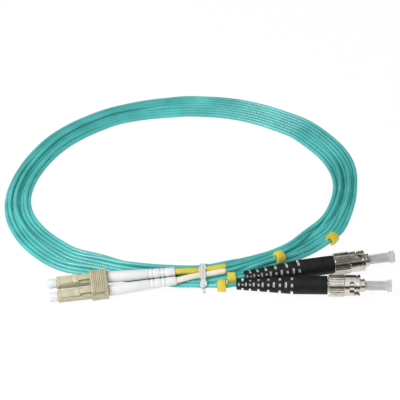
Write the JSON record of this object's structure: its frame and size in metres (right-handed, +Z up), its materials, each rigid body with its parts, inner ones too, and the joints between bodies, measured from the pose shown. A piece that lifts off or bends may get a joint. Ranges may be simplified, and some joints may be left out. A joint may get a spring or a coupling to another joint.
{
  "type": "duplex fibre optic patch cord",
  "caption": "Coiled duplex fibre optic cord with clipped square latch plugs on one end, bayonet plugs on the other, boots, dust caps, ring markers and a tie.",
  "frame": {"origin": "on the surface under the middle of the box that holds the four connectors", "axes": "+X from the square plugs to the bayonet plugs, +Y across the coil away from the connectors, +Z up from the surface"},
  "size_m": [0.1791, 0.1484, 0.0121],
  "materials": {
    "plug_beige": "moulded beige plastic, slight sheen",
    "boot_white": "soft white moulded rubber",
    "cap_white": "milky white plastic",
    "ceramic": "polished white ceramic",
    "plated_metal": "nickel plate",
    "spring_steel": "drawn wire",
    "boot_black": "matte black moulded rubber",
    "cap_frosted": "frosted translucent plastic",
    "aqua_jacket": "smooth aqua cord jacket",
    "fibre_buffer": "aqua buffer over glass fibre",
    "sleeve_yellow": "yellow heat-shrink tubing",
    "sleeve_white": "cream heat-shrink tubing",
    "tie_clear": "clear ribbon tie",
    "marker_yellow": "yellow moulded ring marker"
  },
  "bodies": {
    "root": {"duplex_clip": "plug_beige", "cable_coil": "aqua_jacket", "twist_tie": "tie_clear", "yellow_sleeve": "sleeve_yellow", "white_sleeve": "sleeve_white", "marker_1": "marker_yellow", "marker_2": "marker_yellow", "marker_3": "marker_yellow", "marker_4": "marker_yellow", "leg_lc_a": "aqua_jacket", "leg_lc_b": "aqua_jacket", "leg_st_a": "aqua_jacket", "leg_st_b": "aqua_jacket", "lc_housing_a": "plug_beige", "lc_spring_a": "spring_steel", "lc_backbone_a": "plug_beige", "lc_crimp_ring_a": "plated_metal", "lc_fibre_a": "fibre_buffer", "lc_boot_a": "boot_white", "st_barrel_a": "plated_metal", "st_ferrule_a": "ceramic", "st_spring_a": "spring_steel", "st_clip_ring_a": "spring_steel", "st_crimp_sleeve_a": "plated_metal", "st_fibre_a": "fibre_buffer", "st_boot_a": "boot_black", "lc_housing_b": "plug_beige", "lc_spring_b": "spring_steel", "lc_backbone_b": "plug_beige", "lc_crimp_ring_b": "plated_metal", "lc_fibre_b": "fibre_buffer", "lc_boot_b": "boot_white", "st_barrel_b": "plated_metal", "st_ferrule_b": "ceramic", "st_spring_b": "spring_steel", "st_clip_ring_b": "spring_steel", "st_crimp_sleeve_b": "plated_metal", "st_fibre_b": "fibre_buffer", "st_boot_b": "boot_black"},
    "trigger": {"duplex_trigger": "plug_beige"},
    "latch_a": {"lc_latch_a": "plug_beige"},
    "lc_ferrule_a": {"lc_ferrule_a": "ceramic", "lc_flange_a": "plated_metal"},
    "lc_cap_a": {"lc_dust_cap_a": "cap_white"},
    "latch_b": {"lc_latch_b": "plug_beige"},
    "lc_ferrule_b": {"lc_ferrule_b": "ceramic", "lc_flange_b": "plated_metal"},
    "lc_cap_b": {"lc_dust_cap_b": "cap_white"},
    "st_washer_a": {"st_washer_a": "plated_metal"},
    "st_nut_a": {"st_nut_a": "plated_metal"},
    "st_cap_a": {"st_dust_cap_a": "cap_frosted"},
    "st_washer_b": {"st_washer_b": "plated_metal"},
    "st_nut_b": {"st_nut_b": "plated_metal"},
    "st_cap_b": {"st_dust_cap_b": "cap_frosted"}
  },
  "joints": [
    {"name": "trigger_press", "type": "hinge", "parent": "root", "child": "trigger", "pos_m": [-0.05101, -0.00636, 0.00852], "axis": [0.1488, -0.9084, -0.3907], "range_deg": [0, 9.93], "stiffness_Nm_per_rad": 0.02},
    {"name": "latch_a_bend", "type": "hinge", "parent": "root", "child": "latch_a", "pos_m": [-0.07123, -0.00605, 0.00809], "axis": [-0.1488, 0.9084, 0.3907], "range_deg": [0, 4.8], "stiffness_Nm_per_rad": 0.001},
    {"name": "lc_ferrule_a_push", "type": "slide", "parent": "root", "child": "lc_ferrule_a", "axis": [0.9869, 0.1616, 0], "range_m": [0, 0.0014], "stiffness_N_per_m": 900, "deforming": ["lc_spring_a"]},
    {"name": "lc_cap_a_pull", "type": "slide", "parent": "root", "child": "lc_cap_a", "axis": [-0.9869, -0.1616, 0], "range_m": [0, 0.008]},
    {"name": "latch_b_bend", "type": "hinge", "parent": "root", "child": "latch_b", "pos_m": [-0.0703, -0.01172, 0.00565], "axis": [-0.1488, 0.9084, 0.3907], "range_deg": [0, 4.8], "stiffness_Nm_per_rad": 0.001},
    {"name": "lc_ferrule_b_push", "type": "slide", "parent": "root", "child": "lc_ferrule_b", "axis": [0.9869, 0.1616, 0], "range_m": [0, 0.0014], "stiffness_N_per_m": 900, "deforming": ["lc_spring_b"]},
    {"name": "lc_cap_b_pull", "type": "slide", "parent": "root", "child": "lc_cap_b", "axis": [-0.9869, -0.1616, 0], "range_m": [0, 0.008]},
    {"name": "st_nut_a_push", "type": "slide", "parent": "root", "child": "st_washer_a", "axis": [0.9892, 0.139, 0.0454], "range_m": [0, 0.0012], "stiffness_N_per_m": 1200, "deforming": ["st_spring_a"]},
    {"name": "st_nut_a_turn", "type": "hinge", "parent": "st_washer_a", "child": "st_nut_a", "pos_m": [0.0503, 0.00746, 0.00495], "axis": [0.9892, 0.139, 0.0454], "continuous": true},
    {"name": "st_cap_a_pull", "type": "slide", "parent": "root", "child": "st_cap_a", "axis": [0.9892, 0.139, 0.0454], "range_m": [0, 0.014]},
    {"name": "st_nut_b_push", "type": "slide", "parent": "root", "child": "st_washer_b", "axis": [0.9969, -0.061, 0.0488], "range_m": [0, 0.0012], "stiffness_N_per_m": 1200, "deforming": ["st_spring_b"]},
    {"name": "st_nut_b_turn", "type": "hinge", "parent": "st_washer_b", "child": "st_nut_b", "pos_m": [0.04711, -0.00558, 0.00496], "axis": [0.9969, -0.061, 0.0488], "continuous": true},
    {"name": "st_cap_b_pull", "type": "slide", "parent": "root", "child": "st_cap_b", "axis": [0.9969, -0.061, 0.0488], "range_m": [0, 0.014]}
  ],
  "couplings": [
    {"joint": "latch_a_bend", "follows": "trigger_press", "ratio": 0.46324},
    {"joint": "latch_b_bend", "follows": "trigger_press", "ratio": 0.46324}
  ]
}
